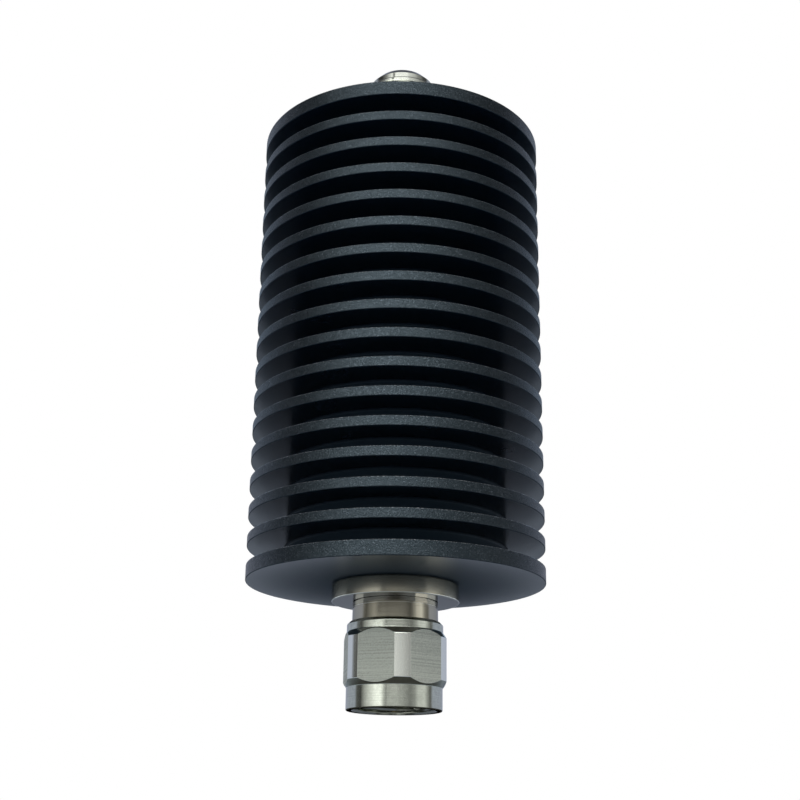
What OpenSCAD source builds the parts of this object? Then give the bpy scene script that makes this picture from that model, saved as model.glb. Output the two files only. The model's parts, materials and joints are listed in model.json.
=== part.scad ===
// Coaxial power attenuator: a finned cylindrical heatsink with a threaded coupling-nut plug
// at the lower end, a threaded jack at the upper end and a chip attenuator cell in its bore.
// The Z axis is the signal axis. Z = 0 is the front face of the coupling nut.

/* [Heatsink] */
// Diameter over the fins
body_d = 60; // [54:0.5:70]
// Length over the two end plates
body_l = 97.12; // [72:0.04:130]
// Diameter of the solid core between the fins
core_d = 44.4; // [38:0.2:50]
// Number of thin fins between the two end plates
fin_count = 15; // [8:1:18]
// Thickness of a thin fin
fin_t = 2; // [1.2:0.1:3]
// Thickness of each end plate
plate_t = 3; // [2:0.1:5]
// Chamfer on the rim of every fin
fin_edge = 0.2; // [0.1:0.05:0.5]
// Corner radius at the root of each groove
root_fillet = 0.5; // [0.2:0.1:1]
// Diameter of the through bore that holds the attenuator cell
bore_d = 20; // [19:0.2:21.4]

/* [Connector flanges] */
// Diameter of the round flange on each connector
flange_d = 25.5; // [24:0.1:30]
// Thickness of the round flange
flange_t = 3.6; // [2.5:0.1:5]
// Chamfer on both rims of a flange
flange_edge = 0.3; // [0.1:0.05:0.6]
// Diameter of the spigot that screws into the heatsink
spigot_d = 22; // [21.6:0.1:23]
// Length of the spigot
spigot_l = 8; // [5:0.5:12]

/* [Coaxial line] */
// Outside diameter of the centre conductors
line_d = 3.04; // [2.6:0.02:3.4]
// Inside diameter of the outer conductor in air
air_d = 7; // [6:0.1:7.6]
// Outside diameter of the dielectric beads
bead_d = 10.2; // [9.6:0.1:11]
// Length of a dielectric bead
bead_l = 5; // [3:0.5:6]

/* [Plug] */
// Diameter of the neck behind the coupling nut
neck_d = 17.1; // [16.6:0.1:17.4]
// Length of neck that shows between nut and flange
neck_show = 3.95; // [2:0.05:8]
// Distance of the shallow turned groove on the neck from the flange
neck_groove_drop = 1.05; // [0.6:0.05:1.2]
// Width of that groove
neck_groove_w = 0.55; // [0.3:0.05:0.7]
// Depth of that groove
neck_groove_depth = 0.12; // [0.05:0.01:0.3]
// Outside diameter of the sprung outer contact
sleeve_d = 8; // [7.9:0.02:8.06]
// Depth of the outer contact's tip inside the nut
sleeve_inset = 1.3; // [0.5:0.1:2.5]
// Number of slots in the outer contact
sleeve_slots = 4; // [3:1:6]
// Width of a slot in the outer contact
sleeve_slot_w = 0.4; // [0.3:0.1:0.7]
// Length of a slot in the outer contact
sleeve_slot_l = 6; // [3:0.5:8]
// Outside diameter of the root of the outer contact
sleeve_root_d = 9.2; // [8.6:0.1:9.4]
// Length of the root that is pressed into the shell
sleeve_root_l = 2.9; // [2:0.1:4]
// Diameter of the plug's contact pin
pin_d = 1.65; // [1.6:0.01:1.7]
// Length of the plug's contact pin
pin_l = 4.9; // [3.5:0.1:6]
// Depth of the pin's tip behind the tip of the outer contact
pin_inset = 0.4; // [0.1:0.1:1.5]

/* [Coupling nut] */
// Overall length of the nut
nut_l = 17.1; // [16.5:0.1:20]
// Hexagon size across the flats
nut_af = 19.4; // [19.2:0.1:20]
// Diameter over the turned corners of the hexagon
nut_d = 20.8; // [20.4:0.1:22]
// Diameter of the collar behind the hexagon
collar_d = 19.1; // [18.6:0.1:19.2]
// Length of the collar behind the hexagon
collar_l = 2.05; // [1.5:0.05:3]
// Chamfer on the rear edge of the collar
collar_edge = 0.6; // [0.2:0.1:0.7]
// Diameter of the skirt in front of the hexagon
skirt_d = 18.9; // [18.4:0.1:19.2]
// Length of the skirt in front of the hexagon
skirt_l = 4.35; // [3:0.05:6]
// Chamfer on the front edge of the skirt
skirt_edge = 0.3; // [0.1:0.1:0.5]
// Length of the cone at each end of the hexagon
hex_cone_l = 1.2; // [0.6:0.1:2]
// Turn of the nut at rest, from a corner at the front
nut_turn = 8.3; // [0:0.1:60]
// Minor diameter of the nut's thread
nut_thread_d = 14.9; // [14.7:0.1:15.1]
// Length of the threaded bore from the nut's front face
nut_thread_l = 9; // [6:0.1:9.4]
// Depth of the step between the thread's relief and the neck bore
nut_step_inset = 10.9; // [10:0.1:11.2]
// Height of that step, on the radius
nut_step = 0.35; // [0.2:0.05:0.5]
// Free travel of the neck's front shoulder behind the step
nut_float = 0.7; // [0.3:0.1:1]
// Running clearance between nut and neck, on the radius
nut_clearance = 0.1; // [0.05:0.01:0.1]

/* [Nut retaining ring and gasket] */
// Width of the retaining ring along the axis
ring_w = 1; // [0.6:0.1:1.2]
// Height of the retaining ring above the neck
ring_proud = 0.4; // [0.3:0.05:0.5]
// Depth of the ring's groove in the neck
ring_depth = 0.75; // [0.5:0.05:1]
// Angle of the gap in the retaining ring
ring_gap = 25; // [10:1:60]
// Clearance round the ring in the nut's groove
ring_clearance = 0.15; // [0.1:0.01:0.2]
// Distance of the ring's groove behind the neck's front shoulder
ring_setback = 0.8; // [0.5:0.1:1.2]
// Clearance of the sealing gasket inside the nut's thread
gasket_rim = 0.25; // [0.1:0.05:0.6]
// Clearance of the sealing gasket round the root of the outer contact
gasket_seat = 0.2; // [0.1:0.05:0.5]
// Thickness of the sealing gasket
gasket_t = 1.6; // [1:0.1:2]

/* [Jack] */
// Height of the jack's front face above its flange
jack_l = 14.7; // [13:0.1:18]
// Major diameter of the jack's thread
jack_thread_d = 15.88; // [15.7:0.02:16]
// Length of the plain run-out between flange and thread
jack_relief_l = 1.8; // [1:0.1:3]
// Diameter of the plain run-out
jack_relief_d = 14.2; // [13.6:0.1:14.6]
// Length of the plain pilot and nose in front of the thread
jack_pilot_l = 3.2; // [2.2:0.1:4]
// Diameter of the plain pilot
jack_pilot_d = 14; // [13:0.1:14.4]
// Lead-in chamfer where the thread begins
jack_thread_edge = 0.5; // [0.2:0.1:0.8]
// Length of the conical nose, which is also its reduction in radius
jack_nose = 1.5; // [0.5:0.1:2]
// Diameter of the socket that takes the plug's outer contact
socket_d = 8.1; // [8.04:0.02:8.2]
// Depth of the socket's mating face below the front
socket_l = 9.1; // [8.5:0.1:10]
// Chamfer at the mouth of the socket
socket_edge = 0.5; // [0.2:0.1:0.8]
// Thickness of the mating ring at the bottom of the socket
mating_ring_l = 1.5; // [1:0.1:2]
// Height of the jack's centre contact above the mating face
contact_rise = 5; // [4.7:0.1:5.3]
// Bore of the jack's centre contact
contact_bore = 1.75; // [1.7:0.01:1.9]
// Depth of the bore in the centre contact
contact_bore_l = 7; // [5:0.5:9]
// Number of slots in the centre contact
contact_slots = 4; // [2:1:6]
// Width of a slot in the centre contact
contact_slot_w = 0.3; // [0.2:0.05:0.5]
// Length of a slot in the centre contact
contact_slot_l = 4.5; // [2:0.5:6]

/* [Attenuator cell] */
// Clearance of the cell in the bore, on the radius
cell_clearance = 0.02; // [0.01:0.01:0.1]
// Width of the attenuator chip
chip_w = 10; // [6:0.5:10.5]
// Length of the attenuator chip
chip_l = 32; // [16:1:40]
// Thickness of the attenuator chip
chip_t = 1; // [0.6:0.1:2]
// Height of the free space above the chip
chip_headroom = 3.5; // [2:0.1:5]
// Thickness of the chip's lid
lid_t = 0.8; // [0.4:0.1:1.5]
// Distance of the lid from the long edges of the chip
lid_margin = 1; // [0.5:0.1:2]
// Distance of the lid from the contact tabs
lid_gap = 0.6; // [0.2:0.1:2]
// Gap between the end of a conductor and the chip
line_end_gap = 0.5; // [0.2:0.1:1.5]
// Thickness of a contact tab
tab_t = 0.25; // [0.15:0.05:0.5]
// Width of a contact tab
tab_w = 2; // [1.2:0.1:2.6]
// Length of tab that lies on the conductor, and on the chip
tab_lap = 2.5; // [1.5:0.1:4]
// Nominal diameter of the cell's screws
screw_d = 2; // [1.6:0.1:2.4]
// Wall between a screw and the chip's pocket
screw_wall = 0.5; // [0.4:0.1:0.7]
// Distance of a screw from the end of the cell
screw_setback = 14.5; // [6:0.5:18]
// Distance of a screw head below the cell's round face
screw_sink = 0.1; // [0.05:0.05:0.5]
// Length of thread in the base half
screw_grip = 4; // [2.5:0.1:5]
// Diameter of a screw head
screw_head_d = 3.8; // [3:0.1:4]
// Height of a screw head
screw_head_h = 2; // [1.5:0.1:2.1]
// Hexagon socket across the flats
screw_socket = 1.5; // [1.2:0.1:2]
// Depth of the hexagon socket
screw_socket_depth = 1; // [0.6:0.1:1.3]
// Clearance of a screw head in its counterbore, on the radius
screw_clearance = 0.1; // [0.05:0.05:0.15]

/* [Hidden] */
$fn = 96;
cut = 1; // how far a cutting shape runs past the face it cuts
hex_sides = 6; // sides of the nut and of the screws' sockets

body_r = body_d / 2;
core_r = core_d / 2;
fin_gap = (body_l - 2 * plate_t - fin_count * fin_t) / (fin_count + 1);

neck_bore_d = neck_d + 2 * nut_clearance;
nut_relief_d = neck_bore_d - 2 * nut_step;
ring_d = neck_d + 2 * ring_proud;
ring_groove_d = neck_d - 2 * ring_depth;
cell_d = bore_d - 2 * cell_clearance;
screw_x = chip_w / 2 + screw_wall + screw_d / 2;
screw_top = sqrt(pow(cell_d / 2 - screw_sink, 2) - pow(screw_x + screw_head_d / 2, 2));
screw_seat = screw_top - screw_head_h;

// Heights along the signal axis, from the nut's front face upwards
flange_low = nut_l + neck_show;
body_low = flange_low + flange_t;
body_high = body_low + body_l;
jack_base = body_high + flange_t;
jack_front = jack_base + jack_l;
cell_low = body_low + spigot_l;
cell_high = body_high - spigot_l;
chip_low = (cell_low + cell_high - chip_l) / 2;
chip_high = chip_low + chip_l;
shell_low = nut_step_inset + nut_float;
sleeve_root_high = shell_low + sleeve_root_l;
plug_bead_high = sleeve_root_high + bead_l;
pin_tip = sleeve_inset + pin_inset;
mating_face = jack_front - socket_l;
jack_bead_high = mating_face - mating_ring_l;
jack_bead_low = jack_bead_high - bead_l;
ring_low = shell_low + ring_setback;
hex_low = skirt_l;
hex_high = nut_l - collar_l;
screw_heights = [cell_low + screw_setback, cell_high - screw_setback];

// Shapes that repeat

// Section of a ring between two diameters and two heights
module ring_section(inner_d, outer_d, low, high) {
    translate([inner_d / 2, low])
        square([(outer_d - inner_d) / 2, high - low]);
}

// Section of a round disc with both outer edges chamfered
module disc_section(r, low, high, edge) {
    polygon([
        [0, low], [r - edge, low], [r, low + edge],
        [r, high - edge], [r - edge, high], [0, high]
    ]);
}

// Plain ring
module ring(inner_d, outer_d, low, high) {
    rotate_extrude()
        ring_section(inner_d, outer_d, low, high);
}

// Radial slots that split a tube from a face downwards into sprung fingers
module finger_slots(count, width, reach, low, high) {
    for (i = [0 : count - 1])
        rotate(360 * (i + 0.5) / count)
            translate([0, -width / 2, low])
                cube([reach, width, high - low]);
}

// Heatsink

// Section of one groove: rounded root corners and a chamfered mouth
module groove_section(low) {
    high = low + fin_gap;
    past = body_r + cut;
    translate([core_r + root_fillet, low])
        square([past - core_r - root_fillet, fin_gap]);
    translate([core_r, low + root_fillet])
        square([2 * root_fillet, fin_gap - 2 * root_fillet]);
    for (z = [low + root_fillet, high - root_fillet])
        translate([core_r + root_fillet, z])
            circle(root_fillet);
    polygon([
        [body_r - fin_edge, low], [body_r, low - fin_edge], [past, low - fin_edge],
        [past, high + fin_edge], [body_r, high + fin_edge], [body_r - fin_edge, high]
    ]);
}

module heatsink_body() {
    color([0.06, 0.065, 0.075])
        rotate_extrude()
            difference() {
                disc_section(body_r, body_low, body_high, fin_edge);
                for (i = [0 : fin_count])
                    groove_section(body_low + plate_t + i * (fin_t + fin_gap));
                ring_section(0, bore_d, body_low - cut, body_high + cut);
                ring_section(0, spigot_d, body_low - cut, cell_low);
                ring_section(0, spigot_d, cell_high, body_high + cut);
            }
}

// Plug

module plug_shell() {
    color([0.72, 0.71, 0.66])
        rotate_extrude()
            difference() {
                union() {
                    ring_section(0, neck_d, shell_low, flange_low + cut);
                    disc_section(flange_d / 2, flange_low, body_low, flange_edge);
                    ring_section(0, spigot_d, body_low - cut, cell_low);
                }
                ring_section(0, sleeve_root_d, shell_low - cut, sleeve_root_high + cut);
                ring_section(0, bead_d, sleeve_root_high, cell_low + cut);
                ring_section(ring_groove_d, neck_d + cut, ring_low, ring_low + ring_w);
                translate([0, flange_low - neck_groove_drop])
                    ring_section(neck_d - 2 * neck_groove_depth, neck_d + cut, -neck_groove_w, 0);
            }
}

module plug_outer_contact() {
    color([0.78, 0.74, 0.6])
        difference() {
            rotate_extrude()
                difference() {
                    union() {
                        ring_section(0, sleeve_d, sleeve_inset, shell_low);
                        ring_section(0, sleeve_root_d, shell_low, sleeve_root_high);
                    }
                    ring_section(0, air_d, sleeve_inset - cut, sleeve_root_high + cut);
                }
            finger_slots(sleeve_slots, sleeve_slot_w, sleeve_d,
                sleeve_inset - cut, sleeve_inset + sleeve_slot_l);
        }
}

module plug_bead() {
    color([0.95, 0.95, 0.93])
        ring(line_d, bead_d, sleeve_root_high, plug_bead_high);
}

module plug_pin() {
    tip_r = pin_d / 2;
    pin_high = pin_tip + pin_l;
    line_high = chip_low - line_end_gap;
    color([0.85, 0.68, 0.32])
        difference() {
            union() {
                translate([0, 0, pin_tip + tip_r])
                    sphere(tip_r);
                ring(0, pin_d, pin_tip + tip_r, pin_high);
                ring(0, line_d, pin_high, line_high);
            }
            conductor_flat(line_high - tab_lap, line_high + cut);
        }
}

module plug_bead_bush() {
    color([0.78, 0.66, 0.36])
        ring(air_d, bead_d, plug_bead_high, cell_low);
}

// Coupling nut

// Section of the nut's outside: a skirt, the coned band that becomes the hexagon, and a collar
module nut_outside_section() {
    skirt_r = skirt_d / 2;
    collar_r = collar_d / 2;
    polygon([
        [0, 0], [skirt_r - skirt_edge, 0], [skirt_r, skirt_edge], [skirt_r, hex_low],
        [nut_d / 2, hex_low + hex_cone_l], [nut_d / 2, hex_high - hex_cone_l], [collar_r, hex_high],
        [collar_r, nut_l - collar_edge], [collar_r - collar_edge, nut_l], [0, nut_l]
    ]);
}

// Cuts that mill the six flats
module nut_flats() {
    for (i = [1 : hex_sides])
        rotate(nut_turn + 360 * i / hex_sides)
            translate([nut_af / 2, -nut_d, -cut])
                cube([nut_d, 2 * nut_d, nut_l + 2 * cut]);
}

// Section of the nut's bore: lead-in, thread, relief, neck bore and ring groove
module nut_bore_section() {
    thread_r = nut_thread_d / 2;
    lead = nut_relief_d / 2 - thread_r;
    polygon([
        [0, -cut], [thread_r + lead + cut, -cut], [thread_r, lead],
        [thread_r, nut_thread_l], [0, nut_thread_l]
    ]);
    ring_section(0, nut_relief_d, nut_thread_l, nut_step_inset);
    ring_section(0, neck_bore_d, nut_step_inset, nut_l + cut);
    ring_section(0, ring_d + 2 * ring_clearance,
        ring_low - ring_clearance, ring_low + ring_w + ring_clearance);
}

module coupling_nut() {
    color([0.74, 0.73, 0.68])
        difference() {
            rotate_extrude()
                difference() {
                    nut_outside_section();
                    nut_bore_section();
                }
            nut_flats();
        }
}

module nut_retaining_ring() {
    color([0.7, 0.6, 0.4])
        rotate([0, 0, ring_gap / 2])
            rotate_extrude(angle = 360 - ring_gap)
                ring_section(ring_groove_d, ring_d, ring_low, ring_low + ring_w);
}

module nut_gasket() {
    color([0.62, 0.16, 0.1])
        ring(sleeve_root_d + 2 * gasket_seat, nut_thread_d - 2 * gasket_rim, shell_low - gasket_t, shell_low);
}

// Jack

module jack_shell() {
    thread_low = jack_base + jack_relief_l;
    thread_high = jack_front - jack_pilot_l;
    thread_r = jack_thread_d / 2;
    pilot_r = jack_pilot_d / 2;
    mouth_r = socket_d / 2 + socket_edge;
    color([0.72, 0.71, 0.66])
        rotate_extrude()
            difference() {
                union() {
                    ring_section(0, spigot_d, cell_high, body_high + cut);
                    disc_section(flange_d / 2, body_high, jack_base, flange_edge);
                    ring_section(0, jack_relief_d, jack_base - cut, thread_low + cut);
                    disc_section(thread_r, thread_low, thread_high, jack_thread_edge);
                    polygon([
                        [0, thread_high - cut], [pilot_r, thread_high - cut],
                        [pilot_r, jack_front - jack_nose], [pilot_r - jack_nose, jack_front],
                        [0, jack_front]
                    ]);
                }
                ring_section(0, bead_d, cell_high - cut, jack_bead_high);
                ring_section(0, air_d, jack_bead_high - cut, mating_face + cut);
                ring_section(0, socket_d, mating_face, jack_front + cut);
                polygon([
                    [0, jack_front - socket_edge], [mouth_r - socket_edge, jack_front - socket_edge],
                    [mouth_r, jack_front], [mouth_r, jack_front + cut], [0, jack_front + cut]
                ]);
            }
}

module jack_bead() {
    color([0.95, 0.95, 0.93])
        ring(line_d, bead_d, jack_bead_low, jack_bead_high);
}

module jack_contact() {
    tip = mating_face + contact_rise;
    line_low = chip_high + line_end_gap;
    color([0.85, 0.68, 0.32])
        difference() {
            ring(0, line_d, line_low, tip);
            rotate_extrude()
                ring_section(0, contact_bore, tip - contact_bore_l, tip + cut);
            finger_slots(contact_slots, contact_slot_w, line_d, tip - contact_slot_l, tip + cut);
            conductor_flat(line_low - cut, line_low + tab_lap);
        }
}

module jack_bead_bush() {
    color([0.78, 0.66, 0.36])
        ring(air_d, bead_d, cell_high, jack_bead_low);
}

// Attenuator cell, split on the plane Y = 0

// Cut that leaves the half of a conductor below the split plane
module conductor_flat(low, high) {
    translate([-line_d, 0, low])
        cube([2 * line_d, line_d, high - low]);
}

// Half of the cell's round bar, on the side that the sign gives
module cell_half(side) {
    intersection() {
        translate([0, 0, cell_low])
            cylinder(h = cell_high - cell_low, d = cell_d);
        translate([-bore_d, side > 0 ? 0 : -bore_d, cell_low - cut])
            cube([2 * bore_d, bore_d, cell_high - cell_low + 2 * cut]);
    }
}

// Coaxial line bored from each end of the cell as far as the chip
module cell_lines() {
    translate([0, 0, cell_low - cut])
        cylinder(h = chip_low - cell_low + cut, d = air_d);
    translate([0, 0, chip_high])
        cylinder(h = cell_high - chip_high + cut, d = air_d);
}

// Places its children at each screw, with the screw's axis along +Z
module at_screws() {
    for (x = [-screw_x, screw_x], z = screw_heights)
        translate([x, 0, z])
            rotate([-90, 0, 0])
                children();
}

module cell_base() {
    color([0.8, 0.8, 0.8])
        difference() {
            cell_half(-1);
            cell_lines();
            translate([-chip_w / 2, -chip_t, chip_low])
                cube([chip_w, chip_t + cut, chip_l]);
            at_screws()
                translate([0, 0, -screw_grip])
                    cylinder(h = screw_grip + cut, d = screw_d);
        }
}

module cell_cover() {
    color([0.8, 0.8, 0.8])
        difference() {
            cell_half(1);
            cell_lines();
            translate([-chip_w / 2, -cut, chip_low])
                cube([chip_w, chip_headroom + cut, chip_l]);
            at_screws() {
                translate([0, 0, -cut])
                    cylinder(h = screw_seat + 2 * cut, d = screw_d);
                translate([0, 0, screw_seat])
                    cylinder(h = bore_d, d = screw_head_d + 2 * screw_clearance);
            }
        }
}

module cell_screws() {
    color([0.35, 0.35, 0.37])
        at_screws()
            difference() {
                union() {
                    translate([0, 0, -screw_grip])
                        cylinder(h = screw_grip + screw_seat + screw_head_h / 2, d = screw_d);
                    translate([0, 0, screw_seat])
                        cylinder(h = screw_head_h, d = screw_head_d);
                }
                translate([0, 0, screw_seat + screw_head_h - screw_socket_depth])
                    cylinder(h = screw_socket_depth + cut, d = screw_socket / cos(180 / hex_sides),
                        $fn = hex_sides);
            }
}

module attenuator_chip() {
    color([0.88, 0.88, 0.84])
        translate([-chip_w / 2, -chip_t, chip_low])
            cube([chip_w, chip_t, chip_l]);
}

module chip_lid() {
    lid_low = chip_low + tab_lap + lid_gap;
    color([0.93, 0.93, 0.9])
        translate([lid_margin - chip_w / 2, 0, lid_low])
            cube([chip_w - 2 * lid_margin, lid_t, chip_l - 2 * (tab_lap + lid_gap)]);
}

// Flat tab that lies on a conductor's flat and reaches onto the chip
module contact_tab(low) {
    color([0.85, 0.68, 0.32])
        translate([-tab_w / 2, 0, low])
            cube([tab_w, tab_t, 2 * tab_lap + line_end_gap]);
}

module plug_tab() {
    contact_tab(chip_low - line_end_gap - tab_lap);
}

module jack_tab() {
    contact_tab(chip_high - tab_lap);
}

heatsink_body();
plug_shell();
plug_outer_contact();
plug_bead();
plug_pin();
plug_bead_bush();
coupling_nut();
nut_retaining_ring();
nut_gasket();
jack_shell();
jack_bead();
jack_contact();
jack_bead_bush();
cell_base();
cell_cover();
cell_screws();
attenuator_chip();
chip_lid();
plug_tab();
jack_tab();
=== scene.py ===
import json
import math

import bpy
from mathutils import Matrix, Vector


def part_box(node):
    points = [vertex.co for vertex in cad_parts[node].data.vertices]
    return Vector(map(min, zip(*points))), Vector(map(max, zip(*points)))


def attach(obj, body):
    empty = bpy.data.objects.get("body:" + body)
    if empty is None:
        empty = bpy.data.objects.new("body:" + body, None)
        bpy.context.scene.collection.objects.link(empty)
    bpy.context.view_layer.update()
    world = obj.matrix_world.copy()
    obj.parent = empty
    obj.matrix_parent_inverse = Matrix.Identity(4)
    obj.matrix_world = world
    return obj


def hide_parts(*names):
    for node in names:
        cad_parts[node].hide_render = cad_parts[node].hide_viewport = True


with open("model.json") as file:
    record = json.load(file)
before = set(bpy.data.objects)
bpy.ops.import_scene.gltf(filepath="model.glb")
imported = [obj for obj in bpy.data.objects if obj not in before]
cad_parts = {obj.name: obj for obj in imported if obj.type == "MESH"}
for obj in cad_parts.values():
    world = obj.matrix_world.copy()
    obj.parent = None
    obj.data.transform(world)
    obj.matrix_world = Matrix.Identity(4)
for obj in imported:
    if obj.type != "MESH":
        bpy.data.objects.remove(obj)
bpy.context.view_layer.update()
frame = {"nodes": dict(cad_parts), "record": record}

# Sizes of the part in millimetres, on the signal axis Z

MM = 0.001


def node_low(node):
    """Lowest height of a CAD node, in millimetres."""
    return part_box(node)[0].z / MM


def node_high(node):
    """Highest height of a CAD node, in millimetres."""
    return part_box(node)[1].z / MM


def node_radius(node):
    """Outside radius of a round CAD node, in millimetres."""
    low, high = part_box(node)
    return max(high.x, high.y, -low.x, -low.y) / MM


BODY_LOW = node_low("heatsink_body")
BODY_HIGH = node_high("heatsink_body")
BODY_R = node_radius("heatsink_body")
CORE_R = 22.2
FIN_COUNT = 15
FIN_T = 2.0
PLATE_T = 3.0
FIN_GAP = (BODY_HIGH - BODY_LOW - 2 * PLATE_T - FIN_COUNT * FIN_T) / (FIN_COUNT + 1)
FIN_PITCH = FIN_T + FIN_GAP
FIN_EDGE = 0.16
ROOT_FILLET = 0.5
CORE_MARGIN = 0.03
BORE_R = 10.0
SPIGOT_R = 11.0
SPIGOT_L = 8.0

FLANGE_R = node_radius("plug_shell")
FLANGE_T = 3.6
FLANGE_EDGE = 0.2
FLANGE_LOW = BODY_LOW - FLANGE_T
FLANGE_GAP = 0.35
FLANGE_GAP_DEPTH = 0.9

NECK_R = 8.55
NECK_LOW = node_low("plug_shell")
NECK_GROOVE_DROP = 1.05
NECK_GROOVE_W = 0.55
NECK_GROOVE_DEPTH = 0.06
NECK_TAPER = 0.065
NECK_UNDERCUT = 0.12
NECK_UNDERCUT_DEPTH = 0.3
NECK_UNDERCUT_FILLET = 0.03
SLEEVE_ROOT_R = 4.6
SLEEVE_ROOT_HIGH = node_high("plug_outer_contact")
BEAD_R = 5.1
AIR_R = 3.5
AIR_FILLET = 0.08

NUT_L = node_high("coupling_nut")
NUT_AF = 19.4
NUT_R = 10.4
COLLAR_R = 9.55
COLLAR_L = 2.05
COLLAR_EDGE = 0.6
SKIRT_R = 9.45
SKIRT_L = 4.35
SKIRT_EDGE = 0.15
HEX_CONE_L = 1.2
HEX_SIDES = 6
HEX_SECTOR = math.radians(60)
NUT_TURN = math.radians(8.3)
NUT_NECK_BORE_R = 8.65
NUT_RELIEF_R = 8.3
NUT_STEP_Z = 10.9
NUT_THREAD_L = 9.0
NUT_RING_GROOVE_R = 9.1
NUT_RING_GROOVE = (12.25, 13.55)
NUT_LEAD_SHARE = 0.4
NUT_RIDGE = (1.0, NUT_THREAD_L - 0.4)
NUT_BEVEL = 0.09
NUT_BEVEL_SEGMENTS = 2
NUT_BEVEL_ANGLE = math.radians(14)

THREAD_PITCH = 25.4 / 24
THREAD_MAJOR_R = 7.94
THREAD_DEPTH = 0.6
THREAD_OVERLAP = 0.02
THREAD_RUN_OUT = 0.35
THREAD_ROOT_SHARE = 0.46
THREAD_CREST_SHARE = 0.09

JACK_BASE = BODY_HIGH + FLANGE_T
JACK_FRONT = node_high("jack_shell")
JACK_RELIEF_R = 7.1
JACK_RELIEF_L = 1.8
JACK_RELIEF_SLOPE = 0.2
JACK_BASE_FILLET = 0.15
JACK_RIDGE_START = 0.6
JACK_RIDGE_END = 0.3
JACK_PILOT_R = 7.0
JACK_PILOT_L = 3.0
JACK_NOSE = 1.5
JACK_NOSE_FILLETS = (0.25, 0.2)
JACK_LAND_L = 0.85
JACK_LAND_EDGE = 0.4
JACK_LAND_SLOPE = 0.3
SOCKET_R = 4.05
SOCKET_L = 9.1
SOCKET_EDGE = 0.5
MATING_RING_L = 1.5

HAIR_FILLET = 0.02
FINE_FILLET = 0.05
SMALL_FILLET = 0.1

SHARP_ANGLE = math.radians(35)
ROUND_STEPS = 4
LATHE_SEGMENTS = 192
THREAD_STEPS = 72
NUT_FLAT_STEPS = 28
NUT_CORNER_STEPS = 10
NUT_SIDE_STEPS = NUT_FLAT_STEPS + NUT_CORNER_STEPS
NUT_BAND_FACE = 4


# Mesh making

def new_object(name, vertices, faces):
    """A mesh object from points in millimetres, smooth except across hard corners."""
    mesh = bpy.data.meshes.new(name)
    mesh.from_pydata([Vector(v) * MM for v in vertices], [], faces)
    mesh.validate()
    mesh.update()
    mesh.shade_smooth()
    mesh.set_sharp_from_angle(angle=SHARP_ANGLE)
    obj = bpy.data.objects.new(name, mesh)
    bpy.context.scene.collection.objects.link(obj)
    return obj


def rounded(corners):
    """Points of an outline whose corners (r, z, radius) are rounded, each as (r, z, edge).
    edge is 1 on a rounded corner and 0 elsewhere."""
    points = []
    count = len(corners)
    for i, (r, z, radius) in enumerate(corners):
        here = Vector((r, z))
        if radius == 0:
            points.append((r, z, 0.0))
            continue
        before = (Vector(corners[i - 1][:2]) - here).normalized()
        after = (Vector(corners[(i + 1) % count][:2]) - here).normalized()
        half_angle = before.angle(after) / 2
        reach = radius / math.tan(half_angle)
        centre = here + (before + after).normalized() * (radius / math.sin(half_angle))
        first = here + before * reach - centre
        last = here + after * reach - centre
        turn = first.angle_signed(last)
        for k in range(ROUND_STEPS + 1):
            arm = first.copy()
            arm.rotate(Matrix.Rotation(-turn * k / ROUND_STEPS, 2))
            inside = 0.0 if k in (0, ROUND_STEPS) else 1.0
            points.append((centre.x + arm.x, centre.y + arm.y, inside))
    return points


def outline_normals(points):
    """Normals (r, z) at the start and end of each side of an outline.
    A straight side keeps its own normal all along; a rounded corner turns evenly between its neighbours."""
    count = len(points)
    sides = []
    for k in range(count):
        r0, z0, edge0 = points[k]
        r1, z1, edge1 = points[(k + 1) % count]
        sides.append(Vector((z1 - z0, r0 - r1)).normalized())
    normals = []
    for k in range(count):
        starts_in = points[k][2] > 0
        ends_in = points[(k + 1) % count][2] > 0
        before = sides[k - 1]
        here = sides[k]
        after = sides[(k + 1) % count]
        if not (starts_in or ends_in):
            normals.append((here, here))
            continue
        start = (before + here).normalized() if starts_in else before
        end = (here + after).normalized() if ends_in else after
        normals.append((start, end))
    return normals


def lathe(name, points):
    """Closed outline (r, z, edge) turned about the axis, with the edge value kept as an attribute."""
    count = len(points)
    vertices = []
    faces = []
    normals = []
    sides = outline_normals(points)
    for i in range(LATHE_SEGMENTS):
        angle = 2 * math.pi * i / LATHE_SEGMENTS
        following = 2 * math.pi * (i + 1) / LATHE_SEGMENTS
        here = i * count
        there = (i + 1) % LATHE_SEGMENTS * count
        for k, (r, z, edge) in enumerate(points):
            after = (k + 1) % count
            start, end = sides[k]
            vertices.append((r * math.cos(angle), r * math.sin(angle), z))
            faces.append((here + k, there + k, there + after, here + after))
            for side, turn in ((start, angle), (start, following), (end, following), (end, angle)):
                normals.append((side.x * math.cos(turn), side.x * math.sin(turn), side.y))
    obj = new_object(name, vertices, faces)
    obj.data.normals_split_custom_set(normals)
    mark_points(obj, "edge", [edge for r, z, edge in points])
    return obj


def mark_points(obj, name, values):
    """Attribute on a turned piece's points, one value for each point of its outline."""
    layer = obj.data.attributes.new(name, "FLOAT", "POINT")
    layer.data.foreach_set("value", values * (len(obj.data.vertices) // len(values)))


def mark_sides(obj, name, values):
    """Attribute on a turned piece's faces, one value for each side of its outline."""
    layer = obj.data.attributes.new(name, "FLOAT", "FACE")
    layer.data.foreach_set("value", values * (len(obj.data.polygons) // len(values)))


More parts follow.
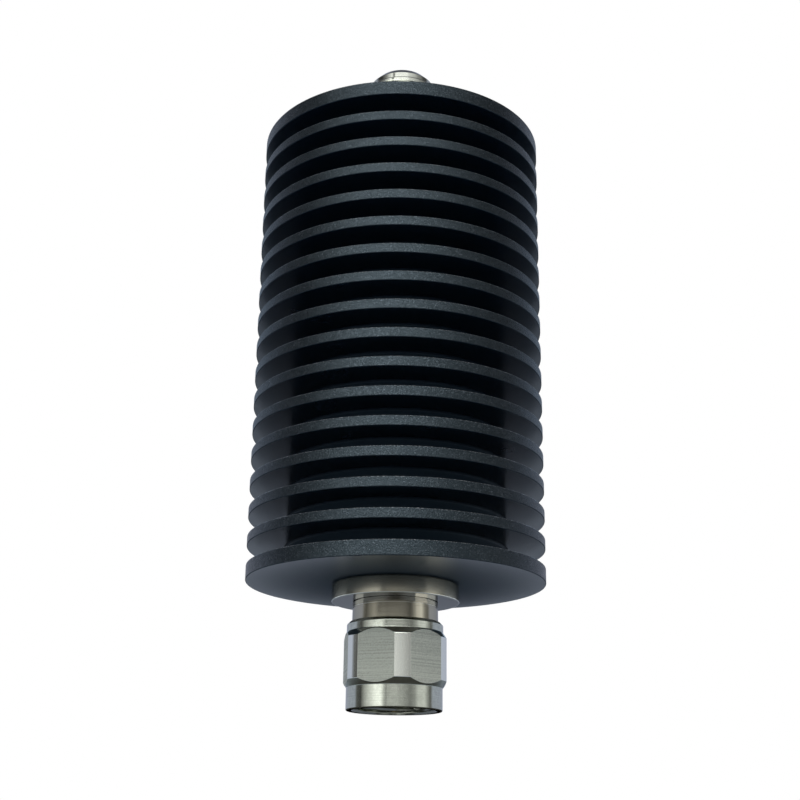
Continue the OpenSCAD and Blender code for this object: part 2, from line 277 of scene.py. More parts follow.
def helix_ridge(root_r, crest_r, low, high):
    """Points and faces of one thread ridge, which rises out of a wall at root_r and runs out at both ends."""
    turns = (high - low) / THREAD_PITCH
    steps = int(turns * THREAD_STEPS)
    run_out = THREAD_RUN_OUT * THREAD_STEPS
    root_half = THREAD_ROOT_SHARE * THREAD_PITCH
    crest_half = THREAD_CREST_SHARE * THREAD_PITCH
    vertices = []
    faces = []
    for i in range(steps + 1):
        rise = min(1.0, i / run_out, (steps - i) / run_out)
        angle = 2 * math.pi * i / THREAD_STEPS
        z = low + (high - low) * i / steps
        r = root_r + (crest_r - root_r) * rise
        for radius, offset in (
            (root_r, -root_half), (r, -crest_half), (r, crest_half), (root_r, root_half)
        ):
            vertices.append((radius * math.cos(angle), radius * math.sin(angle), z + offset))
    for i in range(steps):
        for k in range(4):
            after = (k + 1) % 4
            faces.append((4 * i + k, 4 * i + after, 4 * i + 4 + after, 4 * i + 4 + k))
    faces.append((3, 2, 1, 0))
    faces.append(tuple(4 * steps + k for k in range(4)))
    return vertices, faces


# Pieces

def fin_outline():
    """Outline of the heatsink: end plates, fins, grooves with rounded roots, and the stepped bore."""
    corners = [(SPIGOT_R, BODY_LOW, 0), (BODY_R, BODY_LOW, FIN_EDGE)]
    for i in range(FIN_COUNT + 1):
        low = BODY_LOW + PLATE_T + i * FIN_PITCH
        high = low + FIN_GAP
        corners += [
            (BODY_R, low, FIN_EDGE), (CORE_R, low, ROOT_FILLET),
            (CORE_R, high, ROOT_FILLET), (BODY_R, high, FIN_EDGE),
        ]
    corners += [
        (BODY_R, BODY_HIGH, FIN_EDGE), (SPIGOT_R, BODY_HIGH, 0),
        (SPIGOT_R, BODY_HIGH - SPIGOT_L, 0), (BORE_R, BODY_HIGH - SPIGOT_L, 0),
        (BORE_R, BODY_LOW + SPIGOT_L, 0), (SPIGOT_R, BODY_LOW + SPIGOT_L, 0),
    ]
    return rounded(corners)


def plug_shell_outline():
    """Outline of the plug's shell: bored neck with a turned line and a slight taper, flange and spigot."""
    spigot_high = BODY_LOW + SPIGOT_L
    taper_low = NUT_L - COLLAR_EDGE

    def neck_r(z):
        """Radius of the tapered neck at a height."""
        return NECK_R - NECK_TAPER * (z - taper_low) / (FLANGE_LOW - taper_low)

    undercut = FLANGE_LOW - NECK_UNDERCUT
    groove_high = FLANGE_LOW - NECK_GROOVE_DROP
    groove_low = groove_high - NECK_GROOVE_W
    undercut_r = neck_r(undercut) - NECK_UNDERCUT_DEPTH
    gap_low = BODY_LOW - FLANGE_GAP
    gap_r = FLANGE_R - FLANGE_GAP_DEPTH
    return rounded([
        (SLEEVE_ROOT_R, NECK_LOW, 0), (NECK_R, NECK_LOW, SMALL_FILLET), (NECK_R, taper_low, 0),
        (neck_r(groove_low), groove_low, HAIR_FILLET),
        (neck_r(groove_low) - NECK_GROOVE_DEPTH, groove_low, HAIR_FILLET),
        (neck_r(groove_high) - NECK_GROOVE_DEPTH, groove_high, HAIR_FILLET),
        (neck_r(groove_high), groove_high, HAIR_FILLET),
        (neck_r(undercut), undercut, NECK_UNDERCUT_FILLET), (undercut_r, undercut, 0),
        (undercut_r, FLANGE_LOW, 0), (FLANGE_R, FLANGE_LOW, FLANGE_EDGE),
        (FLANGE_R, gap_low, FINE_FILLET), (gap_r, gap_low, 0), (gap_r, BODY_LOW, 0),
        (SPIGOT_R, BODY_LOW, 0), (SPIGOT_R, spigot_high, 0),
        (BEAD_R, spigot_high, 0), (BEAD_R, SLEEVE_ROOT_HIGH, 0), (SLEEVE_ROOT_R, SLEEVE_ROOT_HIGH, 0),
    ])


def jack_shell_outline():
    """Outline of the jack's shell: spigot, flange, barrel at the thread's root, pilot, nose and socket."""
    thread_low = JACK_BASE + JACK_RELIEF_L
    thread_high = JACK_FRONT - JACK_PILOT_L
    root_r = THREAD_MAJOR_R - THREAD_DEPTH
    land_r = THREAD_MAJOR_R - THREAD_OVERLAP
    land_low = thread_high - JACK_LAND_L
    spigot_low = BODY_HIGH - SPIGOT_L
    mating_face = JACK_FRONT - SOCKET_L
    bead_high = mating_face - MATING_RING_L
    shoulder, brow = JACK_NOSE_FILLETS
    return rounded([
        (BEAD_R, spigot_low, 0), (SPIGOT_R, spigot_low, 0), (SPIGOT_R, BODY_HIGH, 0),
        (FLANGE_R, BODY_HIGH, FLANGE_EDGE), (FLANGE_R, JACK_BASE, FLANGE_EDGE),
        (JACK_RELIEF_R, JACK_BASE, JACK_BASE_FILLET), (JACK_RELIEF_R, thread_low, 0),
        (root_r, thread_low + JACK_RELIEF_SLOPE, 0), (root_r, land_low - JACK_LAND_SLOPE, 0),
        (land_r, land_low, FINE_FILLET), (land_r, thread_high, JACK_LAND_EDGE),
        (JACK_PILOT_R, thread_high, FINE_FILLET), (JACK_PILOT_R, JACK_FRONT - JACK_NOSE, shoulder),
        (JACK_PILOT_R - JACK_NOSE, JACK_FRONT, brow), (SOCKET_R + SOCKET_EDGE, JACK_FRONT, SMALL_FILLET),
        (SOCKET_R, JACK_FRONT - SOCKET_EDGE, SMALL_FILLET), (SOCKET_R, mating_face, 0),
        (AIR_R, mating_face, AIR_FILLET), (AIR_R, bead_high, 0), (BEAD_R, bead_high, 0),
    ])


def nut_outline(angle):
    """Outline of the nut at one angle: the milled flats shorten the coned band between skirt and collar."""
    from_flat = (angle - NUT_TURN + HEX_SECTOR / 2) % HEX_SECTOR - HEX_SECTOR / 2
    band_r = min(NUT_R, NUT_AF / 2 / math.cos(from_flat))
    hex_low = SKIRT_L
    hex_high = NUT_L - COLLAR_L
    band_low = hex_low + HEX_CONE_L * (band_r - SKIRT_R) / (NUT_R - SKIRT_R)
    band_high = hex_high - HEX_CONE_L * (band_r - COLLAR_R) / (NUT_R - COLLAR_R)
    groove_low, groove_high = NUT_RING_GROOVE
    lead = NUT_RELIEF_R - (THREAD_MAJOR_R - THREAD_DEPTH)
    return [
        (NUT_RELIEF_R, 0), (SKIRT_R - SKIRT_EDGE, 0), (SKIRT_R, SKIRT_EDGE), (SKIRT_R, hex_low),
        (band_r, band_low), (band_r, band_high), (COLLAR_R, hex_high),
        (COLLAR_R, NUT_L - COLLAR_EDGE), (COLLAR_R - COLLAR_EDGE, NUT_L), (NUT_NECK_BORE_R, NUT_L),
        (NUT_NECK_BORE_R, groove_high), (NUT_RING_GROOVE_R, groove_high),
        (NUT_RING_GROOVE_R, groove_low), (NUT_NECK_BORE_R, groove_low),
        (NUT_NECK_BORE_R, NUT_STEP_Z), (NUT_RELIEF_R, NUT_STEP_Z), (NUT_RELIEF_R, NUT_THREAD_L),
        (THREAD_MAJOR_R, NUT_THREAD_L), (THREAD_MAJOR_R, lead * NUT_LEAD_SHARE),
    ]


def nut_angles():
    """Angles round the nut, with a step exactly at each edge between a flat and a turned corner."""
    half_flat = math.acos(NUT_AF / 2 / NUT_R)
    angles = []
    for side in range(HEX_SIDES):
        start = NUT_TURN + side * HEX_SECTOR - half_flat
        for k in range(NUT_FLAT_STEPS):
            angles.append(start + 2 * half_flat * k / NUT_FLAT_STEPS)
        for k in range(NUT_CORNER_STEPS):
            angles.append(start + 2 * half_flat + (HEX_SECTOR - 2 * half_flat) * k / NUT_CORNER_STEPS)
    return angles


def make_nut():
    """Hexagon coupling nut with coned corners, softened edges and a cut thread."""
    angles = nut_angles()
    outlines = [nut_outline(a) for a in angles]
    count = len(outlines[0])
    vertices = []
    faces = []
    for angle, outline in zip(angles, outlines):
        for r, z in outline:
            vertices.append((r * math.cos(angle), r * math.sin(angle), z))
    for i in range(len(angles)):
        here = i * count
        there = (i + 1) % len(angles) * count
        for k in range(count):
            after = (k + 1) % count
            faces.append((here + k, there + k, there + after, here + after))
    nut = new_object("nut", vertices, faces)
    on_flat = [i % NUT_SIDE_STEPS < NUT_FLAT_STEPS for i in range(len(angles))]
    odd_side = [i // NUT_SIDE_STEPS % 2 == 1 for i in range(len(angles))]
    # every other flat is marked for painted light
    for finish, chosen in (
        ("milled", on_flat), ("polished", [not flat for flat in on_flat]), ("alternate_flats_painted_light", odd_side),
    ):
        layer = nut.data.attributes.new(finish, "FLOAT", "FACE")
        layer.data.foreach_set("value", [
            1.0 if k == NUT_BAND_FACE and wanted else 0.0 for wanted in chosen for k in range(count)
        ])
    bevel = nut.modifiers.new("edges", "BEVEL")
    bevel.width = NUT_BEVEL * MM
    bevel.segments = NUT_BEVEL_SEGMENTS
    bevel.limit_method = "ANGLE"
    bevel.angle_limit = NUT_BEVEL_ANGLE
    bevel.harden_normals = True
    ridge = new_object("nut_thread", *helix_ridge(
        THREAD_MAJOR_R + THREAD_OVERLAP, THREAD_MAJOR_R - THREAD_DEPTH, *NUT_RIDGE))
    return nut, ridge


def make_pieces():
    """Every visible piece that stands for a CAD node."""
    outline = fin_outline()
    body = lathe("heatsink", outline)
    mark_points(body, "core", [1.0 if r < CORE_R + CORE_MARGIN else 0.0 for r, z, edge in outline])
    mark_points(body, "rim", [1.0 if r > BODY_R - CORE_MARGIN else 0.0 for r, z, edge in outline])
    tops = [BODY_LOW + PLATE_T + i * FIN_PITCH for i in range(FIN_COUNT + 1)] + [BODY_HIGH]
    mark_points(body, "upper_edge", [
        edge if min(math.hypot(r - BODY_R, z - top) for top in tops) < 2 * FIN_EDGE else 0.0
        for r, z, edge in outline
    ])
    outline = plug_shell_outline()
    plug = lathe("plug_flange_and_neck", outline)
    mark_points(plug, "tarnish", [1.0] * len(outline))
    sides = list(zip(outline, outline[1:] + outline[:1]))
    # faces of the flange's underside, which get a painted shade
    mark_sides(plug, "underside", [
        1.0 if max(abs(z - FLANGE_LOW) for r, z, edge in ends) < CORE_MARGIN else 0.0 for ends in sides
    ])
    mark_sides(plug, "satin", [
        1.0 if min(r for r, z, edge in ends) > FLANGE_R - CORE_MARGIN else 0.0 for ends in sides
    ])
    jack = lathe("jack_barrel", jack_shell_outline())
    jack_thread = new_object("jack_thread", *helix_ridge(
        THREAD_MAJOR_R - THREAD_DEPTH - THREAD_OVERLAP, THREAD_MAJOR_R,
        JACK_BASE + JACK_RELIEF_L + JACK_RIDGE_START, JACK_FRONT - JACK_PILOT_L - JACK_RIDGE_END))
    nut, nut_thread = make_nut()
    return body, plug, jack, jack_thread, nut, nut_thread


# Materials

def plain_material(name, colour, metallic, roughness):
    """Principled material with its nodes ready to be linked."""
    material = bpy.data.materials.new(name)
    material.use_nodes = True
    shader = material.node_tree.nodes["Principled BSDF"]
    shader.inputs["Base Color"].default_value = (*colour, 1)
    shader.inputs["Metallic"].default_value = metallic
    shader.inputs["Roughness"].default_value = roughness
    return material, material.node_tree.nodes, material.node_tree.links, shader


def noise(nodes, links, coordinates, scale, detail=2.0):
    """Noise texture on the given coordinates."""
    texture = nodes.new("ShaderNodeTexNoise")
    texture.inputs["Scale"].default_value = scale
    texture.inputs["Detail"].default_value = detail
    links.new(coordinates, texture.inputs["Vector"])
    return texture.outputs["Fac"]


def ramp(nodes, links, value, *stops):
    """Colour ramp over a value; each stop is (position, colour)."""
    node = nodes.new("ShaderNodeValToRGB")
    elements = node.color_ramp.elements
    while len(elements) < len(stops):
        elements.new(0.5)
    for element, (position, colour) in zip(elements, stops):
        element.position = position
        element.color = (*colour, 1)
    links.new(value, node.inputs["Fac"])
    return node.outputs["Color"]


def spread(nodes, links, value, low, high):
    """Value from 0 to 1 mapped to a range."""
    node = nodes.new("ShaderNodeMapRange")
    node.inputs["To Min"].default_value = low
    node.inputs["To Max"].default_value = high
    links.new(value, node.inputs["Value"])
    return node.outputs["Result"]


def spread_from(nodes, links, value, low, high):
    """Value from a range mapped to 0 to 1."""
    node = nodes.new("ShaderNodeMapRange")
    node.inputs["From Min"].default_value = low
    node.inputs["From Max"].default_value = high
    links.new(value, node.inputs["Value"])
    return node.outputs["Result"]


def bump(nodes, links, height, strength, distance, normal=None):
    """Bump node on a height."""
    node = nodes.new("ShaderNodeBump")
    node.inputs["Strength"].default_value = strength
    node.inputs["Distance"].default_value = distance
    links.new(height, node.inputs["Height"])
    if normal:
        links.new(normal, node.inputs["Normal"])
    return node.outputs["Normal"]


def scaled(nodes, links, coordinates, scale):
    """Coordinates stretched by a vector, which makes brushed or turned lines."""
    node = nodes.new("ShaderNodeMapping")
    node.inputs["Scale"].default_value = scale
    links.new(coordinates, node.inputs["Vector"])
    return node.outputs["Vector"]


def object_coordinates(nodes):
    """The object's own coordinates, in metres."""
    return nodes.new("ShaderNodeTexCoord").outputs["Object"]


def attribute(nodes, name):
    """A mesh attribute's value."""
    node = nodes.new("ShaderNodeAttribute")
    node.attribute_name = name
    return node.outputs["Fac"]


def blend(nodes, links, factor, low, high):
    """Mix of two values or links by a factor."""
    node = nodes.new("ShaderNodeMix")
    if isinstance(factor, float):
        node.inputs["Factor"].default_value = factor
    else:
        links.new(factor, node.inputs["Factor"])
    for name, side in (("A", low), ("B", high)):
        if isinstance(side, float):
            node.inputs[name].default_value = side
        else:
            links.new(side, node.inputs[name])
    return node.outputs["Result"]


def blend_colour(nodes, links, factor, low, high, how="MIX"):
    """Mix of two colours or links by a factor."""
    node = nodes.new("ShaderNodeMix")
    node.data_type = "RGBA"
    node.blend_type = how
    if isinstance(factor, float):
        node.inputs["Factor"].default_value = factor
    else:
        links.new(factor, node.inputs["Factor"])
    for name, side in (("A", low), ("B", high)):
        socket = next(s for s in node.inputs if s.name == name and s.type == "RGBA")
        if isinstance(side, tuple):
            socket.default_value = (*side, 1)
        else:
            links.new(side, socket)
    return next(s for s in node.outputs if s.type == "RGBA")


def math_node(nodes, links, operation, a, b=None):
    """Result of a math operation on one or two links or numbers."""
    node = nodes.new("ShaderNodeMath")
    node.operation = operation
    for socket, side in zip(node.inputs, (a, b)):
        if isinstance(side, float):
            socket.default_value = side
        elif side is not None:
            links.new(side, socket)
    return node.outputs["Value"]


def speckle(nodes, links, coordinates, scale):
    """Random value from 0 to 1 in each small cell."""
    cells = nodes.new("ShaderNodeTexVoronoi")
    cells.inputs["Scale"].default_value = scale
    links.new(coordinates, cells.inputs["Vector"])
    split = nodes.new("ShaderNodeSeparateColor")
    links.new(cells.outputs["Color"], split.inputs["Color"])
    return split.outputs["Red"]


# Black anodising: colours, roughness and the scale of each pattern; the rim specks are partly painted glints,
# and the upper edges carry a painted highlight along with wear
ANODISED = (0.007, 0.008, 0.01)
ANODISED_ROUGHNESS = 0.38
ANODISED_GLOSS = (0.66, 0.87, 1.0)
ANODISED_FACE = (0.002, 0.006, 0.012)
ANODISED_CORE = (0.003, 0.01, 0.018)
# rim specks: random grain, and the brightest ones are painted glints
RIM_GRAIN_AND_PAINTED_GLINT_COLOURS = (
    (0.3, (0.0008, 0.0016, 0.0022)), (0.75, (0.002, 0.003, 0.0038)),
    (0.82, (0.004, 0.005, 0.006)), (0.97, (0.05, 0.057, 0.064)),
)
# upper edges lighter: partly wear, partly a painted highlight where light falls on them; the lower edges get
# none
RUBBED_AND_PAINTED_HIGHLIGHT_COLOUR = (0.06, 0.066, 0.07)
BARE_COLOUR = (0.4, 0.42, 0.44)
BARE_SHARE = (0.66, 0.8)
SPARK_SHARE = (0.6, 0.95)
FACE_ROUGHNESS = (0.26, 0.3)
RIM_ROUGHNESS = 0.4
SPARK_ROUGHNESS = 0.16
DULL_ROUGHNESS = 0.75
GRAIN_SCALE = 3600
CLOUD_SCALE = 60
SPARK_SCALE = 7000
FLECK_SCALE = 4200
GRAIN_DEPTH = 0.00015
GRAIN_STRENGTH = (0.12, 0.45)


def black_anodised():
    """Black anodising with a bluish gloss.
    Blasted rims sparkle, partly through painted glints in their colour; their upper edges are lighter, partly
    from wear and partly as a painted highlight; the fins' faces are smooth and the core is dull."""
    material, nodes, links, shader = plain_material("black_anodised", ANODISED, 0.0, ANODISED_ROUGHNESS)
    shader.inputs["Specular Tint"].default_value = (*ANODISED_GLOSS, 1)
    place = object_coordinates(nodes)
    rim = attribute(nodes, "rim")
    core = attribute(nodes, "core")
    grain = noise(nodes, links, place, GRAIN_SCALE, 3)
    cloud = noise(nodes, links, place, CLOUD_SCALE, 3)
    sparks = math_node(nodes, links, "MULTIPLY", speckle(nodes, links, place, SPARK_SCALE), rim)
    # rim colour with random grain specks, the brightest of them painted glints
    base = blend_colour(nodes, links, rim, ANODISED_FACE, ramp(nodes, links, sparks, *RIM_GRAIN_AND_PAINTED_GLINT_COLOURS))
    upper = attribute(nodes, "upper_edge")
    lower = math_node(nodes, links, "SUBTRACT", attribute(nodes, "edge"), upper)
    # upper edges only: partly wear, partly a painted highlight
    rubbed = math_node(nodes, links, "MULTIPLY", upper, spread(nodes, links, grain, 0.1, 0.9))
    flecks = spread_from(nodes, links, speckle(nodes, links, place, FLECK_SCALE), *BARE_SHARE)
    bare = math_node(nodes, links, "MULTIPLY", upper, flecks)
    colour = blend_colour(nodes, links, rubbed, base, RUBBED_AND_PAINTED_HIGHLIGHT_COLOUR)
    colour = blend_colour(nodes, links, bare, colour, BARE_COLOUR)
    links.new(bare, shader.inputs["Metallic"])
    links.new(blend_colour(nodes, links, core, colour, ANODISED_CORE), shader.inputs["Base Color"])
    smooth = spread(nodes, links, cloud, *FACE_ROUGHNESS)
    blasted = blend(nodes, links, rim, smooth, RIM_ROUGHNESS)
    glint = spread_from(nodes, links, sparks, *SPARK_SHARE)
    gloss = blend(nodes, links, glint, blasted, SPARK_ROUGHNESS)
    dull = math_node(nodes, links, "MAXIMUM", core, lower)
    links.new(blend(nodes, links, dull, gloss, DULL_ROUGHNESS), shader.inputs["Roughness"])
    relief = nodes.new("ShaderNodeBump")
    relief.inputs["Distance"].default_value = GRAIN_DEPTH
    links.new(spread(nodes, links, rim, *GRAIN_STRENGTH), relief.inputs["Strength"])
    links.new(grain, relief.inputs["Height"])
    links.new(relief.outputs["Normal"], shader.inputs["Normal"])
    return material


# Nickel plate: colours of its finishes, a painted shade on the flange's underside and painted light on
# alternate nut flats, spread of its roughness, and the stretch of its marks along the axis
TARNISH = (0.47, 0.45, 0.36)
# painted shade: a darker colour for the flange's underside, where shade falls
UNDERSIDE_PAINTED_SHADE = (0.31, 0.28, 0.235)
POLISHED = (0.86, 0.89, 0.82)
STAINED_SHARE = 0.8
SCORED_SHARES = (0.46, 0.74)
# painted light: every other flat of the nut is made lighter, standing in for light falling unevenly on the
# flats
PAINTED_LIGHT_ON_ALTERNATE_FLATS = (1.32, 1.3, 1.3)
RUBBED_SHARE = 0.5
MILLED_METALLIC = 0.2
MILLED_ROUGHNESS_SPREAD = 0.06
SATIN_ROUGHNESS = 0.13
RING_STRETCH = (1, 1, 60)
STREAK_STRETCH = (1, 1, 0.06)
SCRATCH_STRETCH = (1, 1, 260)
STREAK_STRENGTH = 0.4
MARK_DEPTH = 0.00003


def turned_nickel(name, colour, grazing, shine, marks, ground=None):
    """Nickel plate on turned brass, with marks round the axis, faint stains, a painted shade on undersides
    and painted light on alternate milled flats.
    ground is the roughness of milled flats with lines, on a piece that has them."""
    material, nodes, links, shader = plain_material(name, colour, 1.0, shine)
    shader.inputs["Specular Tint"].default_value = (*grazing, 1)
    shader.inputs["Anisotropic"].default_value = 0.6
    shader.inputs["Anisotropic Rotation"].default_value = 0.25
    tangent = nodes.new("ShaderNodeTangent")
    tangent.direction_type = "RADIAL"
    tangent.axis = "Z"
    links.new(tangent.outputs["Tangent"], shader.inputs["Tangent"])
    place = object_coordinates(nodes)
    rings = noise(nodes, links, scaled(nodes, links, place, RING_STRETCH), 160, 4)
    streaks = noise(nodes, links, scaled(nodes, links, place, STREAK_STRETCH), 900, 3)
    stain = noise(nodes, links, place, 1300, 5)
    darker = tuple(STAINED_SHARE * c for c in colour)
    finish = ramp(nodes, links, blend(nodes, links, 0.5, stain, rings), (0.35, darker), (0.62, colour))
    finish = blend_colour(nodes, links, attribute(nodes, "tarnish"), finish, TARNISH)
    # painted shade on the flange's underside
    finish = blend_colour(nodes, links, attribute(nodes, "underside"), finish, UNDERSIDE_PAINTED_SHADE)
    rubbed = math_node(nodes, links, "MULTIPLY", attribute(nodes, "edge"), RUBBED_SHARE)
    bright = math_node(nodes, links, "MAXIMUM", attribute(nodes, "polished"), rubbed)
    finish = blend_colour(nodes, links, bright, finish, POLISHED)
    rough = spread(nodes, links, rings, shine - 0.03, shine + 0.05)
    rough = blend(nodes, links, attribute(nodes, "satin"), rough, SATIN_ROUGHNESS)
    relief = rings
    if ground:
        milled = attribute(nodes, "milled")
        scratches = noise(nodes, links, scaled(nodes, links, place, SCRATCH_STRETCH), 36, 3)
        lines = blend(nodes, links, 0.4, scratches, noise(nodes, links, place, 4200, 2))
        deep, shallow = (tuple(share * c for c in colour) for share in SCORED_SHARES)
        scored = ramp(nodes, links, lines, (0.38, deep), (0.58, shallow))
        # painted light on every other flat
        painted_lighter = blend_colour(nodes, links, 1.0, scored, PAINTED_LIGHT_ON_ALTERNATE_FLATS, "MULTIPLY")
        scored = blend_colour(nodes, links, attribute(nodes, "alternate_flats_painted_light"), scored, painted_lighter)
        finish = blend_colour(nodes, links, milled, finish, scored)
        links.new(spread(nodes, links, milled, 1.0, MILLED_METALLIC), shader.inputs["Metallic"])
        flat = spread(nodes, links, lines, ground - MILLED_ROUGHNESS_SPREAD, ground + MILLED_ROUGHNESS_SPREAD)
        rough = blend(nodes, links, milled, rough, flat)
        relief = blend(nodes, links, milled, rings, lines)
    links.new(finish, shader.inputs["Base Color"])
    links.new(rough, shader.inputs["Roughness"])
    wavy = bump(nodes, links, streaks, STREAK_STRENGTH, MARK_DEPTH)
    links.new(bump(nodes, links, relief, marks, MARK_DEPTH, wavy), shader.inputs["Normal"])
    return material


def plain_metal(name, colour, roughness):
    """Small inner metal pieces: colour, light stains and fine turning marks."""
    material, nodes, links, shader = plain_material(name, colour, 1.0, roughness)
    place = object_coordinates(nodes)
    marks = noise(nodes, links, scaled(nodes, links, place, (1, 1, 12)), 900, 3)
    darker = tuple(STAINED_SHARE * c for c in colour)
    links.new(ramp(nodes, links, marks, (0.3, darker), (0.65, colour)), shader.inputs["Base Color"])
    links.new(bump(nodes, links, marks, 0.08, MARK_DEPTH), shader.inputs["Normal"])
    return material


def matt(name, colour, roughness, grain_scale):
    """Plastic, rubber and ceramic: grain in colour and surface."""
    material, nodes, links, shader = plain_material(name, colour, 0.0, roughness)
    place = object_coordinates(nodes)
    grain = noise(nodes, links, place, grain_scale, 4)
    darker = tuple(0.85 * c for c in colour)
    links.new(ramp(nodes, links, grain, (0.3, darker), (0.7, colour)), shader.inputs["Base Color"])
    links.new(bump(nodes, links, grain, 0.1, 0.00005), shader.inputs["Normal"])
    return material


def make_materials():
    """One material for each of the record's slots."""
    return {
        "black_anodised": black_anodised(),
        "nickel_plate": turned_nickel("nickel_plate", (0.6, 0.62, 0.56), (0.62, 0.63, 0.66), 0.07, 0.012),
        "nickel_nut": turned_nickel("nickel_nut", (0.6, 0.635, 0.55), (0.88, 0.88, 0.9), 0.08, 0.03, 0.6),
        "silver_plate": plain_metal("silver_plate", (0.74, 0.72, 0.66), 0.2),
        "gold_plate": plain_metal("gold_plate", (0.86, 0.62, 0.26), 0.2),
        "bare_brass": plain_metal("bare_brass", (0.68, 0.52, 0.24), 0.3),
        "spring_bronze": plain_metal("spring_bronze", (0.56, 0.4, 0.24), 0.35),
        "white_dielectric": matt("white_dielectric", (0.85, 0.85, 0.82), 0.45, 900),
        "silicone_seal": matt("silicone_seal", (0.42, 0.07, 0.04), 0.5, 700),
        "bare_aluminium": plain_metal("bare_aluminium", (0.7, 0.71, 0.72), 0.35),
        "black_steel": plain_metal("black_steel", (0.09, 0.09, 0.095), 0.4),
        "chip_ceramic": matt("chip_ceramic", (0.8, 0.8, 0.76), 0.6, 1200),
    }


def dress(materials, pieces):
    """Puts a material on every piece and on every CAD node that stays."""
    for obj, slot in pieces:
        obj.data.materials.append(materials[slot])
    for part in frame["record"]["subparts"]:
        data = frame["nodes"][part["node"]].data
        data.materials.clear()
        data.materials.append(materials[part["material_slot"]])


# Stage: camera, floor, lamps and world, in metres

CAMERA_DISTANCE = 0.25655
CAMERA_DROP = 0.04632
CAMERA_HEIGHT = BODY_LOW * MM - CAMERA_DROP
CAMERA_PITCH = math.radians(18.42)
CAMERA_YAW = math.radians(0.09)
CAMERA_ROLL = math.radians(0.7285)
CAMERA_LENS = 57.98
CAMERA_SENSOR = 36
CAMERA_NEAR = 0.01


def make_camera():
    """Camera at the photograph's viewpoint: low in front of the plug, looking up along the body."""
    data = bpy.data.cameras.new("camera")
    data.sensor_width = CAMERA_SENSOR
    data.lens = CAMERA_LENS
    data.clip_start = CAMERA_NEAR
    camera = bpy.data.objects.new("camera", data)
    bpy.context.scene.collection.objects.link(camera)
    ahead = Vector((math.sin(CAMERA_YAW), math.cos(CAMERA_YAW), 0))
    level = Vector((math.cos(CAMERA_YAW), -math.sin(CAMERA_YAW), 0))
    up = Vector((0, 0, math.cos(CAMERA_PITCH))) - ahead * math.sin(CAMERA_PITCH)
    sight = ahead * math.cos(CAMERA_PITCH) + Vector((0, 0, math.sin(CAMERA_PITCH)))
    right = level * math.cos(CAMERA_ROLL) + up * math.sin(CAMERA_ROLL)
    top = up * math.cos(CAMERA_ROLL) - level * math.sin(CAMERA_ROLL)
    rotation = Matrix((right, top, -sight)).transposed()
    camera.matrix_world = Matrix.Translation((0, -CAMERA_DISTANCE, CAMERA_HEIGHT)) @ rotation.to_4x4()
    bpy.context.scene.camera = camera


# Pale floor, with a painted soft shade in front of the part and a painted contact shadow round the nut's foot
FLOOR_SIZE = 3.0
FLOOR_SEGMENTS = 96
FLOOR_COLOUR = (0.76, 0.84, 0.95)
FLOOR_ROUGHNESS = 0.9
# painted shade: a dark patch in the floor's colour in front of the part, which the undersides reflect
FLOOR_PAINTED_FRONT_SHADE = (0.14, 0.14, 0.14)
FLOOR_PAINTED_SHADE_CENTRE = -0.13
FLOOR_PAINTED_SHADE_SIZE = (0.06, 0.12)
FLOOR_PAINTED_SHADE_FADE = (0.3, 1.4)
# painted contact shadow: the floor's colour close round the nut's foot
FLOOR_PAINTED_CONTACT_SHADOW = (0.11, 0.105, 0.1)
FLOOR_PAINTED_CONTACT_SHADOW_FADE = (0.0125, 0.019)


def make_floor():
    """Pale floor under the nut, open where the nut's own mouth covers it, with a painted shade in front of
    the part and a painted contact shadow round the nut's foot.
    It shows from above only, because the camera stands lower than it."""
    vertices = []
    faces = []
    for i in range(FLOOR_SEGMENTS):
        angle = 2 * math.pi * i / FLOOR_SEGMENTS
        for r in (NUT_RELIEF_R * MM, FLOOR_SIZE):
            vertices.append((r * math.cos(angle), r * math.sin(angle), 0))
        here = 2 * i
        there = 2 * ((i + 1) % FLOOR_SEGMENTS)
        faces.append((here, here + 1, there + 1, there))
    mesh = bpy.data.meshes.new("floor")
    mesh.from_pydata(vertices, [], faces)
    floor = bpy.data.objects.new("floor", mesh)
    bpy.context.scene.collection.objects.link(floor)
    material, nodes, links, shader = plain_material("floor", FLOOR_COLOUR, 0.0, FLOOR_ROUGHNESS)
    place = object_coordinates(nodes)
    reach = nodes.new("ShaderNodeVectorMath")
    reach.operation = "LENGTH"
    links.new(place, reach.inputs[0])
    # painted contact shadow: the floor's colour darkens close to the nut
    outside_painted_contact_shadow = spread_from(nodes, links, reach.outputs["Value"], *FLOOR_PAINTED_CONTACT_SHADOW_FADE)
    wide, deep = FLOOR_PAINTED_SHADE_SIZE
    offset = nodes.new("ShaderNodeVectorMath")
    offset.inputs[1].default_value = (0, -FLOOR_PAINTED_SHADE_CENTRE / deep, 0)
    links.new(scaled(nodes, links, place, (1 / wide, 1 / deep, 1)), offset.inputs[0])
    around = nodes.new("ShaderNodeVectorMath")
    around.operation = "LENGTH"
    links.new(offset.outputs["Vector"], around.inputs[0])
    # painted shade: the floor's colour darkens towards the patch in front of the part
    outside_painted_front_shade = spread_from(nodes, links, around.outputs["Value"], *FLOOR_PAINTED_SHADE_FADE)
    pale = blend_colour(nodes, links, outside_painted_front_shade, FLOOR_PAINTED_FRONT_SHADE, FLOOR_COLOUR)
    links.new(blend_colour(nodes, links, outside_painted_contact_shadow, FLOOR_PAINTED_CONTACT_SHADOW, pale), shader.inputs["Base Color"])
    side = nodes.new("ShaderNodeNewGeometry")
    clear = nodes.new("ShaderNodeBsdfTransparent")
    mix = nodes.new("ShaderNodeMixShader")
    links.new(side.outputs["Backfacing"], mix.inputs["Fac"])
    links.new(shader.outputs["BSDF"], mix.inputs[1])
    links.new(clear.outputs["BSDF"], mix.inputs[2])
    links.new(mix.outputs["Shader"], nodes["Material Output"].inputs["Surface"])
    mesh.materials.append(material)


